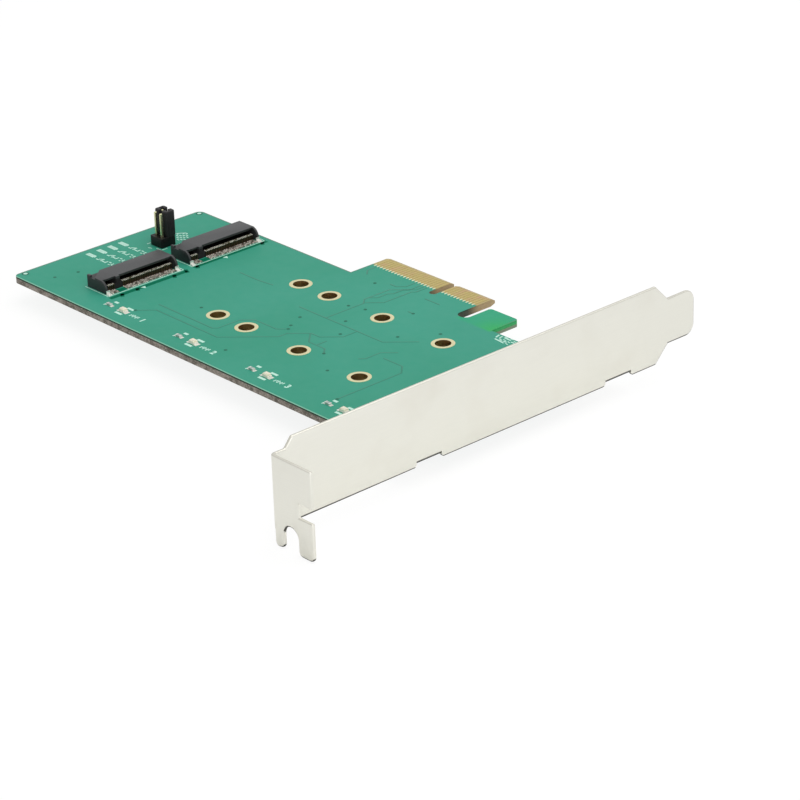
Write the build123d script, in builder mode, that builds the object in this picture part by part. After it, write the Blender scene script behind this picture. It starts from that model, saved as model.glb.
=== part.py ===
"""Expansion card that carries two solid state drive sockets, with its full-height slot bracket."""
import os

from build123d import *

os.makedirs("parts", exist_ok=True)

# The origin is the middle of the key notch on the outer edge of the card-edge tongue, at the
# height of the component face. X runs towards the bracket, Y out of the tongue, Z up.

# board
board_thickness = 1.6
board_left = -78.1
board_right = 57.6
board_near = -68.2
board_far = -12.4
board_far_at_bracket = -12.9
board_corner_radius = 1.6

# card edge: four lanes, 1.0 mm pitch, key notch between the short and the long group
key_width = 1.9
key_depth = 8.25
long_tongue = 21.65
short_tongue = 11.65
bevel_length = 1.3
bevel_drop = 0.47
pad_pitch = 1.0
pad_width = 0.7
pad_thickness = 0.05
pad_start = -5.3
pad_end = -0.25
long_pad_count = 21
short_pad_count = 11
first_pad_from_key = 1.5
hook_gap_end = 16.06
hook_right = 25.0
hook_far = -4.6
hook_corner = 0.8
hook_gap_corner = 1.6

# drive screw holes: one row for each socket, one hole for each drive length
drive_lengths = (32.0, 42.0, 60.0, 80.0)
card_stop_x = -57.6
front_row_y = -49.55
row_pitch = 24.5
hole_diameter = 3.7
hole_pad_diameter = 5.4
plating_wall = 0.1
plating_lift = 0.05

# drive socket, in its own frame: x from the card stop towards the mouth, z from the board
socket_length = 21.0
socket_height = 3.0
socket_back = 2.6
socket_end_reach = 4.5
socket_lip_reach = 2.8
socket_shelf_reach = 3.4
slot_floor = 1.35
slot_roof = 2.45
end_wall = 0.55
end_round = 2.2
key_rib_offset = -6.125
key_rib_width = 1.1
contact_pitch = 0.5
contact_width = 0.25
contact_thickness = 0.15
contact_inset = 0.4
foot_length = 1.6
wide_contacts_from = -4.75
narrow_contacts_from = -7.5
contact_end_clearance = 0.65
corner_notch_length = 1.1
corner_notch_width = 0.7
corner_notch_slant = (3.0, 3.6)
corner_notch_floor = 2.5
solder_tab_thickness = 0.2
solder_tab_width = 1.0
solder_tab_height = 0.9
solder_tab_foot = 0.8

# pin header, two rows of two, and its jumper cap
header_pitch = 2.0
header_x = -67.7
header_y = -31.95
header_base_height = 2.4
header_base_margin = 0.15
header_corner_cut = 0.2
pin_size = 0.5
pin_top = 8.3
pin_tail = 2.6
cap_top = 8.7
cap_width = 2.8
cap_length = 4.3
cap_corner = 0.3
cap_saddle_width = 1.2
cap_saddle_depth = 1.2
clip_wall = 0.15
clip_end_room = 0.15
clip_bottom = 3.2
clip_top = 7.2

# status lights and their resistors
light_count = 4
light_pitch = 25.25
first_light_x = -42.7
light_y = -63.2
light_length = 2.0
light_width = 1.25
light_body_height = 0.4
lens_length = 1.5
lens_height = 0.55
lens_slope = 0.25
resistor_offset = -5.1
resistor_length = 1.6
resistor_width = 0.8
resistor_height = 0.45
resistor_terminal = 0.3

# slot bracket, one folded sheet
sheet = 0.86
inner_bend = 0.3
ear_inner_bend = 0.1
bracket_face = 59.05
bracket_width = 18.42
bracket_length = 120.02
bracket_bottom = -3.1
bracket_tip = 15.9
shoulder_y = 3.9
tongue_start_y = 7.7
tongue_width = 10.6
tongue_corner = 2.6
corner_step = 2.2
corner_start = 3.6
corner_run = 1.8
tab_reach = 11.43
tab_low = -6.6
screw_slot_width = 4.42
screw_slot_x = 63.8
screw_slot_top = -1.15
tab_notch_depth = 4.1
tab_notch_low = 1.8
tab_notch_high = 5.0
prong_corner = 1.1
near_ear_span = (-66.4, -59.4)
far_ear_span = (-11.65, -3.8)
ear_depth = 12.0
ear_hole_x = 51.6
ear_hole_ys = (-62.9, -17.4)
ear_neck = 2.2
ear_far_reach = -21.2
ear_corner = 1.8
ear_hole_diameter = 3.1
relief_slant = 0.6

# bracket screws
screw_diameter = 3.0
screw_hole_diameter = 3.2
screw_head_diameter = 5.6
screw_head_height = 1.9
screw_head_slope = 0.8
screw_length = 5.0
screw_recess_width = 0.7
screw_recess_reach = 3.0
screw_recess_depth = 1.1

rear_row_y = front_row_y + row_pitch
slot_width = socket_length - 2 * end_wall
hole_xs = [card_stop_x + length for length in drive_lengths]
bracket_inner = bracket_face - sheet
bracket_bend = bracket_tip - bracket_length
bracket_top = bracket_bottom + bracket_width
ear_top = -board_thickness
ear_bottom = ear_top - sheet
outer_bend = inner_bend + sheet
tab_top = bracket_top - corner_step


def finish(part, name):
    part.label = name
    export_step(part, f"parts/{name}.step")


def wedge(face_z, drop):
    """The slice that leaves the card edge bevelled on one face."""
    reach = key_width + long_tongue
    with BuildPart() as cutter:
        with BuildSketch(Plane.YZ.offset(-reach)):
            with BuildLine():
                Polyline(
                    (-bevel_length, face_z),
                    (bevel_length, face_z + 2 * drop),
                    (bevel_length, face_z),
                    close=True,
                )
            make_face()
        extrude(amount=2 * reach)
    return cutter.part


# board
with BuildPart() as board:
    with BuildSketch(Plane.XY.offset(-board_thickness)) as outline:
        with BuildLine():
            Polyline(
                (board_left, board_near),
                (board_right, board_near),
                (board_right, board_far_at_bracket),
                (hook_right, board_far_at_bracket),
                (hook_right, hook_far),
                (hook_gap_end, hook_far),
                (hook_gap_end, board_far),
                (key_width / 2 + short_tongue, board_far),
                (key_width / 2 + short_tongue, 0),
                (-key_width / 2 - long_tongue, 0),
                (-key_width / 2 - long_tongue, board_far),
                (board_left, board_far),
                close=True,
            )
        make_face()
        fillet(outline.vertices().group_by(Axis.X)[0], radius=board_corner_radius)
        fillet(outline.vertices().group_by(Axis.X)[-1], radius=board_corner_radius / 2)
        for hook_x in (hook_gap_end, hook_right):
            fillet(outline.vertices().sort_by_distance((hook_x, hook_far))[0], radius=hook_corner)
        gap_ends = [(hook_gap_end, board_far), (key_width / 2 + short_tongue, board_far)]
        for gap_end in gap_ends:
            fillet(outline.vertices().sort_by_distance(gap_end)[0], radius=hook_gap_corner)
        with Locations((0, -key_depth / 2 + key_width / 4)):
            Rectangle(key_width, key_depth - key_width / 2, mode=Mode.SUBTRACT)
        with Locations((0, -key_depth + key_width / 2)):
            Circle(key_width / 2, mode=Mode.SUBTRACT)
        with Locations([(x, y) for x in hole_xs for y in (front_row_y, rear_row_y)]):
            Circle(hole_diameter / 2 + plating_wall, mode=Mode.SUBTRACT)
        with Locations([(ear_hole_x, y) for y in ear_hole_ys]):
            Circle(screw_hole_diameter / 2, mode=Mode.SUBTRACT)
        with Locations((header_x, header_y)):
            with GridLocations(header_pitch, header_pitch, 2, 2):
                Rectangle(pin_size, pin_size, mode=Mode.SUBTRACT)
    extrude(amount=board_thickness)
    add(wedge(0, -bevel_drop), mode=Mode.SUBTRACT)
    add(wedge(-board_thickness, bevel_drop), mode=Mode.SUBTRACT)
finish(board.part, "board")


# plated drive holes: copper barrels with a ring on the component face
for place, row_y in (("front", front_row_y), ("rear", rear_row_y)):
    places = [(x, row_y) for x in hole_xs]
    with BuildPart() as platings:
        with BuildSketch(Plane.XY.offset(-board_thickness)):
            with Locations(places):
                Circle(hole_diameter / 2 + plating_wall)
                Circle(hole_diameter / 2, mode=Mode.SUBTRACT)
        extrude(amount=board_thickness)
        with BuildSketch():
            with Locations(places):
                Circle(hole_pad_diameter / 2)
                Circle(hole_diameter / 2, mode=Mode.SUBTRACT)
        extrude(amount=plating_lift)
    finish(platings.part, f"{place}_hole_platings")


def edge_contacts(face_z, outward):
    """One face's gold contacts: flat on the tongue, then down its bevel."""
    end_drop = -outward * bevel_drop * (1 + pad_end / bevel_length)
    lift = outward * pad_thickness
    long_xs = [-first_pad_from_key - pad_pitch * k for k in range(long_pad_count)]
    short_xs = [first_pad_from_key + pad_pitch * k for k in range(short_pad_count)]
    with BuildPart() as contacts:
        with BuildSketch(*[Plane.YZ.offset(x - pad_width / 2) for x in long_xs + short_xs]):
            with BuildLine():
                Polyline(
                    (pad_start, face_z),
                    (pad_start, face_z + lift),
                    (-bevel_length, face_z + lift),
                    (pad_end, face_z + lift + end_drop),
                    (pad_end, face_z + end_drop),
                    (-bevel_length, face_z),
                    close=True,
                )
            make_face()
        extrude(amount=pad_width)
    return contacts.part


# card edge contacts
finish(edge_contacts(0, 1), "edge_contacts_top")
finish(edge_contacts(-board_thickness, -1), "edge_contacts_bottom")


def contact_ys(centre_y):
    """Contact places on both sides of the key rib, as many as the slot has room for."""
    reach = slot_width / 2 - contact_end_clearance
    wide_count = int((reach - wide_contacts_from) / contact_pitch) + 1
    narrow_count = int((reach + narrow_contacts_from) / contact_pitch) + 1
    wide = [centre_y + wide_contacts_from + contact_pitch * k for k in range(wide_count)]
    narrow = [centre_y + narrow_contacts_from - contact_pitch * k for k in range(narrow_count)]
    return wide + narrow


def socket_housing(centre_y):
    """Moulded body: a floor, a back and a lip round the mouth, closed by rounded end walls."""
    back = card_stop_x - socket_back
    front = card_stop_x + socket_end_reach
    near = centre_y - socket_length / 2
    with BuildPart() as housing:
        with BuildSketch(Plane.XZ.offset(-centre_y - socket_length / 2)):
            with BuildLine():
                Polyline(
                    (back, 0),
                    (card_stop_x + socket_shelf_reach, 0),
                    (card_stop_x + socket_shelf_reach, slot_floor),
                    (card_stop_x, slot_floor),
                    (card_stop_x, slot_roof),
                    (card_stop_x + socket_lip_reach, slot_roof),
                    (card_stop_x + socket_lip_reach, socket_height),
                    (back, socket_height),
                    close=True,
                )
            make_face()
        extrude(amount=socket_length)
        for wall_start in (centre_y + socket_length / 2, centre_y - socket_length / 2 + end_wall):
            with BuildSketch(Plane.XZ.offset(-wall_start)) as wall:
                with Locations(((back + front) / 2, socket_height / 2)):
                    Rectangle(front - back, socket_height)
                fillet(wall.vertices().sort_by(Axis.X)[-2:].sort_by(Axis.Y)[-1], radius=end_round)
            extrude(amount=end_wall)
        rib_centre = (card_stop_x + socket_shelf_reach / 2, centre_y + key_rib_offset)
        with Locations((*rib_centre, (slot_floor + socket_height) / 2)):
            Box(socket_shelf_reach, key_rib_width, socket_height - slot_floor)
        with BuildSketch(Plane.XY.offset(corner_notch_floor)):
            with BuildLine():
                Polyline(
                    (back + corner_notch_length, near),
                    (back + corner_notch_slant[0], near),
                    (back, near + corner_notch_slant[1]),
                    (back, near + corner_notch_width),
                    (back + corner_notch_length, near + corner_notch_width),
                    close=True,
                )
            make_face()
        extrude(amount=socket_height - corner_notch_floor, mode=Mode.SUBTRACT)
    return housing.part


def bent_strips(corner_points, ys):
    """Flat strips of one section, side by side, as a comb of separate solids."""
    with BuildPart() as strips:
        with BuildSketch(*[Plane.XZ.offset(-y - contact_width / 2) for y in ys]):
            with BuildLine():
                Polyline(*corner_points, close=True)
            make_face()
        extrude(amount=contact_width)
    return strips.part


def lower_contacts(centre_y):
    """Tips on the floor of the mouth, down its front face and out along the board."""
    inner = card_stop_x + socket_shelf_reach
    outer = inner + contact_thickness
    points = [
        (card_stop_x + contact_inset, slot_floor),
        (inner, slot_floor),
        (inner, 0),
        (outer + foot_length, 0),
        (outer + foot_length, contact_thickness),
        (outer, contact_thickness),
        (outer, slot_floor + contact_thickness),
        (card_stop_x + contact_inset, slot_floor + contact_thickness),
    ]
    return bent_strips(points, contact_ys(centre_y))


def upper_contacts(centre_y):
    """Tails of the upper row: down the back of the body and out along the board."""
    back = card_stop_x - socket_back
    outer = back - contact_thickness
    points = [
        (back, slot_roof),
        (back, 0),
        (outer - foot_length / 2, 0),
        (outer - foot_length / 2, contact_thickness),
        (outer, contact_thickness),
        (outer, slot_roof),
    ]
    return bent_strips(points, contact_ys(centre_y))


def solder_tabs(centre_y):
    """Hold-down plates soldered in front of the two end walls."""
    front = card_stop_x + socket_end_reach
    with BuildPart() as tabs:
        for side in (-1, 1):
            tab_y = centre_y + side * (socket_length - solder_tab_width) / 2
            with BuildSketch(Plane.XZ.offset(-tab_y - solder_tab_width / 2)):
                with BuildLine():
                    Polyline(
                        (front, 0),
                        (front + solder_tab_foot, 0),
                        (front + solder_tab_foot, solder_tab_thickness),
                        (front + solder_tab_thickness, solder_tab_thickness),
                        (front + solder_tab_thickness, solder_tab_height),
                        (front, solder_tab_height),
                        close=True,
                    )
                make_face()
            extrude(amount=solder_tab_width)
    return tabs.part


# drive sockets
for place, row_y in (("front", front_row_y), ("rear", rear_row_y)):
    finish(socket_housing(row_y), f"{place}_socket_housing")
    finish(lower_contacts(row_y), f"{place}_socket_lower_contacts")
    finish(upper_contacts(row_y), f"{place}_socket_upper_contacts")
    finish(solder_tabs(row_y), f"{place}_socket_solder_tabs")

# pin header
with BuildPart() as header_base:
    with BuildSketch():
        with Locations((header_x, header_y)):
            side = 2 * header_pitch + 2 * header_base_margin
            Rectangle(side, side)
    extrude(amount=header_base_height)
    chamfer(header_base.edges().filter_by(Axis.Z), length=header_corner_cut)
    with BuildSketch():
        with Locations((header_x, header_y)):
            with GridLocations(header_pitch, header_pitch, 2, 2):
                Rectangle(pin_size, pin_size)
    extrude(amount=header_base_height, mode=Mode.SUBTRACT)
finish(header_base.part, "header_base")

with BuildPart() as header_pins:
    with BuildSketch(Plane.XY.offset(-pin_tail)):
        with Locations((header_x, header_y)):
            with GridLocations(header_pitch, header_pitch, 2, 2):
                Rectangle(pin_size, pin_size)
    extrude(amount=pin_top + pin_tail)
    chamfer(header_pins.edges().group_by(Axis.Z)[0], length=pin_size / 4)
    chamfer(header_pins.edges().group_by(Axis.Z)[-1], length=pin_size / 4)
finish(header_pins.part, "header_pins")

# jumper cap over the two pins of the far row, open at the top
cap_y = header_y + header_pitch / 2
pocket_length = header_pitch + pin_size + 2 * (clip_wall + clip_end_room)
pocket_width = pin_size + 2 * clip_wall
with BuildPart() as jumper_cap:
    with BuildSketch(Plane.XY.offset(header_base_height)) as cap_plan:
        with Locations((header_x, cap_y)):
            Rectangle(cap_length, cap_width)
        chamfer(cap_plan.vertices(), length=cap_corner)
        with Locations((header_x, cap_y)):
            Rectangle(pocket_length, pocket_width, mode=Mode.SUBTRACT)
    extrude(amount=cap_top - header_base_height)
    chamfer(jumper_cap.faces().sort_by(Axis.Z)[-1].outer_wire().edges(), length=cap_corner / 2)
    with Locations((header_x, cap_y, cap_top)):
        Box(cap_saddle_width, cap_width, 2 * cap_saddle_depth, mode=Mode.SUBTRACT)
finish(jumper_cap.part, "jumper_cap")

with BuildPart() as jumper_clip:
    with BuildSketch(Plane.XY.offset(clip_bottom)):
        with Locations((header_x, cap_y)):
            Rectangle(pocket_length, pocket_width)
            Rectangle(pocket_length - 2 * clip_wall, pin_size, mode=Mode.SUBTRACT)
    extrude(amount=clip_top - clip_bottom)
finish(jumper_clip.part, "jumper_clip")

# status lights with the resistor beside each
light_places = [(first_light_x + light_pitch * k, light_y) for k in range(light_count)]
resistor_places = [(x + resistor_offset, y) for x, y in light_places]
with BuildPart() as light_bodies:
    with BuildSketch():
        with Locations(light_places):
            Rectangle(light_length, light_width)
    extrude(amount=light_body_height)
finish(light_bodies.part, "light_bodies")

with BuildPart() as light_lenses:
    with BuildSketch(Plane.XY.offset(light_body_height)):
        with Locations(light_places):
            Rectangle(lens_length, light_width)
    extrude(amount=lens_height)
    chamfer(light_lenses.edges().group_by(Axis.Z)[-1], length=lens_slope)
finish(light_lenses.part, "light_lenses")

with BuildPart() as resistor_bodies:
    with BuildSketch():
        with Locations(resistor_places):
            Rectangle(resistor_length - 2 * resistor_terminal, resistor_width)
    extrude(amount=resistor_height)
finish(resistor_bodies.part, "resistor_bodies")

with BuildPart() as resistor_terminals:
    with BuildSketch():
        with Locations(resistor_places):
            with GridLocations(resistor_length - resistor_terminal, 1, 2, 1):
                Rectangle(resistor_terminal, resistor_width)
    extrude(amount=resistor_height)
finish(resistor_terminals.part, "resistor_terminals")

# slot bracket: plate with tongue, screw tab folded outwards, two ears folded under the board
middle_z = (bracket_bottom + bracket_top) / 2
tab_right = bracket_face + tab_reach
ear_left = bracket_face - ear_depth
ear_root = bracket_inner - outer_bend
bend_start = ear_top + 2 * ear_inner_bend
with BuildPart() as bracket:
    with BuildSketch(Plane.YZ.offset(bracket_inner)) as plate:
        with BuildLine():
            Polyline(
                (bracket_bend, bracket_bottom),
                (near_ear_span[0] - relief_slant, bracket_bottom),
                (near_ear_span[0], ear_bottom),
                (near_ear_span[0], bend_start),
                (near_ear_span[1], bend_start),
                (near_ear_span[1], ear_bottom),
                (near_ear_span[1] + relief_slant, bracket_bottom),
                (far_ear_span[0] - relief_slant, bracket_bottom),
                (far_ear_span[0], ear_bottom),
                (far_ear_span[0], bend_start),
                (far_ear_span[1], bend_start),
                (far_ear_span[1], ear_bottom),
                (far_ear_span[1] + relief_slant, bracket_bottom),
                (shoulder_y, bracket_bottom),
                (tongue_start_y, middle_z - tongue_width / 2),
                (bracket_tip, middle_z - tongue_width / 2),
                (bracket_tip, middle_z + tongue_width / 2),
                (tongue_start_y, middle_z + tongue_width / 2),
                (shoulder_y, bracket_top),
                (bracket_bend + corner_start + corner_run, bracket_top),
                (bracket_bend + corner_start, tab_top),
                (bracket_bend, tab_top),
                close=True,
            )
        make_face()
        fillet(plate.vertices().group_by(Axis.X)[-1], radius=tongue_corner)
    extrude(amount=sheet)
    with BuildSketch(Plane.XZ.offset(-bracket_bend - sheet)) as tab:
        with BuildLine():
            Polyline(
                (bracket_inner, tab_top),
                (tab_right, tab_top),
                (tab_right, tab_notch_high),
                (tab_right - tab_notch_depth, tab_notch_high),
                (tab_right - tab_notch_depth, tab_notch_low),
                (tab_right, tab_notch_low),
                (tab_right, tab_low),
                (bracket_face, tab_low),
                (bracket_face, bracket_bottom),
                (bracket_inner, bracket_bottom),
                close=True,
            )
        make_face()
        slot_centre_z = screw_slot_top - screw_slot_width / 2
        with Locations((screw_slot_x, slot_centre_z)):
            Circle(screw_slot_width / 2, mode=Mode.SUBTRACT)
        with Locations((screw_slot_x, (slot_centre_z + tab_low) / 2)):
            Rectangle(screw_slot_width, slot_centre_z - tab_low, mode=Mode.SUBTRACT)
        fillet(tab.vertices().group_by(Axis.Y)[0], radius=prong_corner)
    extrude(amount=sheet)
    upright = bracket.edges().filter_by(Axis.Z)
    fillet(upright.sort_by_distance((bracket_inner, bracket_bend, middle_z))[0], radius=outer_bend)
    fillet(upright.sort_by_distance((bracket_face, bracket_bend + sheet, middle_z))[0], radius=inner_bend)
    for span in (near_ear_span, far_ear_span):
        with BuildSketch(Plane.XZ.offset(-span[1])) as fold:
            with BuildLine():
                Polyline(
                    (ear_root, ear_bottom),
                    (bracket_face, ear_bottom),
                    (bracket_face, bend_start),
                    (bracket_inner, bend_start),
                    (bracket_inner, ear_top),
                    (ear_root, ear_top),
                    close=True,
                )
            make_face()
            outer_corner = fold.vertices().sort_by_distance((bracket_face, ear_bottom))[0]
            inner_corner = fold.vertices().sort_by_distance((bracket_inner, ear_top))[0]
            fillet(outer_corner, radius=ear_inner_bend + sheet)
            fillet(inner_corner, radius=ear_inner_bend)
        extrude(amount=span[1] - span[0])
    with BuildSketch(Plane.XY.offset(ear_bottom)) as near_ear:
        with Locations(((ear_left + ear_root) / 2, sum(near_ear_span) / 2)):
            Rectangle(ear_root - ear_left, near_ear_span[1] - near_ear_span[0])
        fillet(near_ear.vertices().group_by(Axis.X)[0], radius=ear_corner)
        with Locations((ear_hole_x, ear_hole_ys[0])):
            Circle(ear_hole_diameter / 2, mode=Mode.SUBTRACT)
    extrude(amount=sheet)
    with BuildSketch(Plane.XY.offset(ear_bottom)) as far_ear:
        with BuildLine():
            Polyline(
                (ear_root, far_ear_span[0]),
                (ear_root, far_ear_span[1]),
                (ear_left + ear_depth / 2, far_ear_span[1]),
                (ear_left, far_ear_span[0] - ear_neck),
                (ear_left, ear_far_reach),
                (ear_root, ear_far_reach),
                close=True,
            )
        make_face()
        fillet(far_ear.vertices().group_by(Axis.Y)[0], radius=ear_corner)
        with Locations((ear_hole_x, ear_hole_ys[1])):
            Circle(ear_hole_diameter / 2, mode=Mode.SUBTRACT)
    extrude(amount=sheet)
finish(bracket.part, "bracket")

# bracket screws, driven from the component side into the ears
with BuildPart() as bracket_screws:
    with BuildSketch():
        with Locations([(ear_hole_x, y) for y in ear_hole_ys]):
            Circle(screw_head_diameter / 2)
    extrude(amount=screw_head_height)
    chamfer(bracket_screws.edges().group_by(Axis.Z)[-1], length=screw_head_slope)
    with BuildSketch(Plane.XY.offset(-screw_length)):
        with Locations([(ear_hole_x, y) for y in ear_hole_ys]):
            Circle(screw_diameter / 2)
    extrude(amount=screw_length)
    with BuildSketch(Plane.XY.offset(screw_head_height - screw_recess_depth)):
        with Locations([(ear_hole_x, y) for y in ear_hole_ys]):
            Rectangle(screw_recess_reach, screw_recess_width)
            Rectangle(screw_recess_width, screw_recess_reach)
    extrude(amount=screw_recess_depth, mode=Mode.SUBTRACT)
finish(bracket_screws.part, "bracket_screws")
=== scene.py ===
import math

import bpy
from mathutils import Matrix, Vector


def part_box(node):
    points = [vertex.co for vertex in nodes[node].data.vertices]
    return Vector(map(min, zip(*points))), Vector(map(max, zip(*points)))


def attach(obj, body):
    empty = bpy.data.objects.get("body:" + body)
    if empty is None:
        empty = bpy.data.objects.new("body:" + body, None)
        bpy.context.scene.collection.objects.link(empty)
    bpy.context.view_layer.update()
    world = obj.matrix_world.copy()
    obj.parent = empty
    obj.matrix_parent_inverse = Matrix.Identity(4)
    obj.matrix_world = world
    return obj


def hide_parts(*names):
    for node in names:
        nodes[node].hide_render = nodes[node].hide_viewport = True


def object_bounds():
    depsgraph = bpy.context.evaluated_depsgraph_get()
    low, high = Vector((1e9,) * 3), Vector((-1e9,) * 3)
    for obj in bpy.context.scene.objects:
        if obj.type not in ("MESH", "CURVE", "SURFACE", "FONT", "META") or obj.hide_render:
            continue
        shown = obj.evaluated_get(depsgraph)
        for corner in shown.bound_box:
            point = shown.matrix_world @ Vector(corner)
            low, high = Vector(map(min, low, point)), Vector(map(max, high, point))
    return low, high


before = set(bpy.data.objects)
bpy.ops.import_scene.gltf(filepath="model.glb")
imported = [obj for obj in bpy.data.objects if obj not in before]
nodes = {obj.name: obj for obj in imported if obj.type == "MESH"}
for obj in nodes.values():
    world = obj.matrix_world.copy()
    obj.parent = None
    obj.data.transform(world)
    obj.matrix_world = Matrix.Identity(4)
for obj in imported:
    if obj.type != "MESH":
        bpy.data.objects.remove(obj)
cadBox = [list(corner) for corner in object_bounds()]
mm = 0.001
print("frame loaded with", len(nodes), "parts")

# view, light and floor

bpy.context.scene.view_settings.view_transform = "Standard"

camera = {
    "place": (0.497024, -0.454842, 0.286343),
    "turn": (64.9052, 1.767, 47.8917),
    "lens": 144.0,
    "nearest": 0.01,
}
lamps = [
    {"name": "overheadSoftbox", "place": (0.1, 0.15, 0.9), "size": 0.9, "watts": 4.0},
    {"name": "frontSoftbox", "place": (0.9, -0.35, 0.45), "size": 0.7, "watts": 2.6},
]
lampAim = (0.0, -0.04, 0.0)
surround = {"lightStrength": 0.52, "mirroredStrength": 0.85, "seenStrength": 1.0}
floorStyle = {"gap": 0.05, "size": 6.0, "colour": "#F6F6F4", "roughness": 0.9, "ownGlow": 0.84, "glow": 1.04}


def toLinear(hexText):
    values = [int(hexText[k:k + 2], 16) / 255 for k in (1, 3, 5)]
    return [v / 12.92 if v <= 0.04045 else ((v + 0.055) / 1.055) ** 2.4 for v in values] + [1.0]


def addNode(tree, kind, settings):
    # a setting is a property or an input: a socket gets linked to the input, a hex colour is made linear
    node = tree.nodes.new("ShaderNode" + kind)
    for name, value in settings.items():
        if isinstance(name, str) and hasattr(node, name):
            setattr(node, name, value)
        elif isinstance(value, bpy.types.NodeSocket):
            tree.links.new(value, node.inputs[name])
        elif isinstance(value, str):
            node.inputs[name].default_value = toLinear(value)
        else:
            node.inputs[name].default_value = value
    return node


def deselectAll():
    for other in list(bpy.context.selected_objects):
        other.select_set(False)


def pick(obj):
    deselectAll()
    obj.select_set(True)
    bpy.context.view_layer.objects.active = obj


bpy.ops.object.camera_add(location=camera["place"], rotation=[math.radians(a) for a in camera["turn"]])
lens = bpy.context.object
lens.name = "viewCamera"
lens.data.lens = camera["lens"]
lens.data.clip_start = camera["nearest"]
bpy.context.scene.camera = lens

for lamp in lamps:
    bpy.ops.object.light_add(type="AREA", location=lamp["place"])
    light = bpy.context.object
    light.name = lamp["name"]
    light.data.size = lamp["size"]
    light.data.energy = lamp["watts"]
    light.rotation_euler = (Vector(lampAim) - Vector(lamp["place"])).to_track_quat("-Z", "Y").to_euler()

world = bpy.data.worlds.new("paleStudio")
bpy.context.scene.world = world
world.use_nodes = True
sky = world.node_tree.nodes["Background"]
sky.inputs["Color"].default_value = (1, 1, 1, 1)
rays = addNode(world.node_tree, "LightPath", {}).outputs
mirrored = addNode(world.node_tree, "MapRange", {"Value": rays["Is Glossy Ray"],
                                                 "To Min": surround["lightStrength"],
                                                 "To Max": surround["mirroredStrength"]})
level = addNode(world.node_tree, "MapRange", {"Value": rays["Is Camera Ray"], "To Min": mirrored.outputs[0],
                                              "To Max": surround["seenStrength"]})
world.node_tree.links.new(level.outputs[0], sky.inputs["Strength"])

floorHeight = cadBox[0][2] - floorStyle["gap"] * mm
bpy.ops.mesh.primitive_plane_add(size=floorStyle["size"], location=(0, 0, floorHeight))
floor = bpy.context.object
floor.name = "floor"
bpy.ops.object.transform_apply(location=True)
floorPaint = bpy.data.materials.new("paleFloor")
floorPaint.use_nodes = True
tree = floorPaint.node_tree
painted = tree.nodes["Principled BSDF"]
painted.inputs["Base Color"].default_value = toLinear(floorStyle["colour"])
painted.inputs["Roughness"].default_value = floorStyle["roughness"]
rays = addNode(tree, "LightPath", {}).outputs
share = addNode(tree, "Math", {"operation": "MULTIPLY", 0: rays["Is Camera Ray"], 1: floorStyle["ownGlow"]})
glow = addNode(tree, "Emission", {"Color": (1, 1, 1, 1), "Strength": floorStyle["glow"]})
both = addNode(tree, "MixShader", {0: share.outputs[0], 1: painted.outputs[0], 2: glow.outputs[0]})
tree.links.new(both.outputs[0], tree.nodes["Material Output"].inputs["Surface"])
floor.data.materials.append(floorPaint)
print("view, light and floor set")

# materials


def newMaterial(name, settings):
    material = bpy.data.materials.new(name)
    material.use_nodes = True
    shader = material.node_tree.nodes["Principled BSDF"]
    for key, value in settings.items():
        shader.inputs[key].default_value = value
    return material, material.node_tree, shader


def readSpot(tree):
    # where a point lies on the part, and how far its face looks upward
    place = addNode(tree, "TexCoord", {}).outputs["Object"]
    x, y, z = addNode(tree, "SeparateXYZ", {0: place}).outputs
    facing = addNode(tree, "NewGeometry", {}).outputs["True Normal"]
    upward = addNode(tree, "SeparateXYZ", {0: facing}).outputs[2]
    return {"place": place, "x": x, "y": y, "z": z, "upward": upward}


def gather(tree, shares, operation="MULTIPLY"):
    # multiplied, the share that lies in all the zones at once; with MAXIMUM, in any of them
    result = shares[0]
    for share in shares[1:]:
        node = addNode(tree, "Math", {"operation": operation, "use_clamp": True, 0: result, 1: share})
        result = node.outputs[0]
    return result


def zoneShare(tree, spot, zone):
    # one where every ramp of the zone has risen from its first value to its second, zero outside
    ramps = []
    for reading, start, end in zone:
        unit = mm if reading in ("x", "y", "z") else 1.0
        value = spot[reading] if isinstance(reading, str) else reading
        limits = {"Value": value, "From Min": start * unit, "From Max": end * unit}
        ramps.append(addNode(tree, "MapRange", limits).outputs[0])
    return gather(tree, ramps)


def layColours(tree, ground, layers):
    # each layer covers what lies below it by its share
    for colour, share in layers:
        ground = addNode(tree, "Mix", {"data_type": "RGBA", 6: ground, 7: colour, 0: share}).outputs[2]
    return ground


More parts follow.
